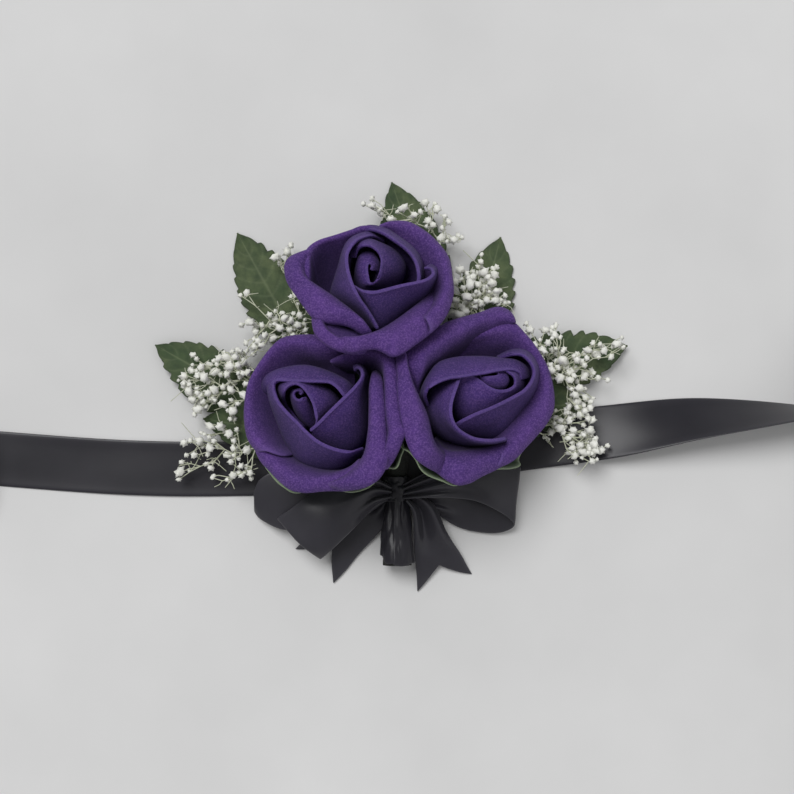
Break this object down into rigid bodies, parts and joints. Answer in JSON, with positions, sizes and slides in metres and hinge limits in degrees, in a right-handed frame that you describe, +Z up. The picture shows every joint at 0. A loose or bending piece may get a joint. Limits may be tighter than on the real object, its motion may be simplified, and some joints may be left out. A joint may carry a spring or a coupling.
{
  "type": "wrist corsage",
  "caption": "Ribbon-tied wrist corsage lying flat: foam roses, cloth leaves and baby's breath sprays bound into a taped stem bundle with a satin bow.",
  "frame": {"origin": "middle of the wrist ribbon's underside, below the bow knot's end of the stem bundle, on the surface it lies on", "axes": "+X along the wrist ribbon to the picture's right, +Y towards the upper rose and the leaf tips, +Z up, the way the roses face"},
  "size_m": [0.3424, 0.1472, 0.055],
  "materials": {
    "petal_foam": "matte",
    "satin_ribbon": "satin",
    "leaf_cloth": "matte",
    "calyx_plastic": "satin",
    "stem_plastic": "matte",
    "floral_tape": "matte",
    "blossom": "matte"
  },
  "bodies": {
    "root": {"rose_upper_bud": "petal_foam", "rose_upper_inner_petal_1": "petal_foam", "rose_upper_inner_petal_2": "petal_foam", "rose_upper_inner_petal_3": "petal_foam", "rose_upper_outer_petal_1": "petal_foam", "rose_upper_outer_petal_2": "petal_foam", "rose_upper_outer_petal_3": "petal_foam", "rose_upper_outer_petal_4": "petal_foam", "rose_upper_outer_petal_5": "petal_foam", "rose_upper_calyx": "calyx_plastic", "rose_upper_stem": "stem_plastic", "rose_left_bud": "petal_foam", "rose_left_inner_petal_1": "petal_foam", "rose_left_inner_petal_2": "petal_foam", "rose_left_inner_petal_3": "petal_foam", "rose_left_outer_petal_1": "petal_foam", "rose_left_outer_petal_2": "petal_foam", "rose_left_outer_petal_3": "petal_foam", "rose_left_outer_petal_4": "petal_foam", "rose_left_outer_petal_5": "petal_foam", "rose_left_calyx": "calyx_plastic", "rose_left_stem": "stem_plastic", "rose_right_bud": "petal_foam", "rose_right_inner_petal_1": "petal_foam", "rose_right_inner_petal_2": "petal_foam", "rose_right_inner_petal_3": "petal_foam", "rose_right_outer_petal_1": "petal_foam", "rose_right_outer_petal_2": "petal_foam", "rose_right_outer_petal_3": "petal_foam", "rose_right_outer_petal_4": "petal_foam", "rose_right_outer_petal_5": "petal_foam", "rose_right_calyx": "calyx_plastic", "rose_right_stem": "stem_plastic", "leaf_left_low": "leaf_cloth", "leaf_left": "leaf_cloth", "leaf_left_upper": "leaf_cloth", "leaf_top": "leaf_cloth", "leaf_right_upper": "leaf_cloth", "leaf_right": "leaf_cloth", "leaf_right_low": "leaf_cloth", "spray_left_low": "blossom", "spray_left": "blossom", "spray_left_upper": "blossom", "spray_top": "blossom", "spray_right_upper": "blossom", "spray_right": "blossom", "spray_right_low": "blossom", "stem_tape": "floral_tape", "stem_wrap": "satin_ribbon", "bow_knot": "satin_ribbon", "bow_loop_left_front": "satin_ribbon", "bow_loop_left_back": "satin_ribbon", "bow_loop_right": "satin_ribbon", "bow_tail_left": "satin_ribbon", "bow_tail_right": "satin_ribbon", "wrist_ribbon": "satin_ribbon", "ribbon_roll_left": "satin_ribbon", "ribbon_roll_right": "satin_ribbon"}
  },
  "joints": []
}
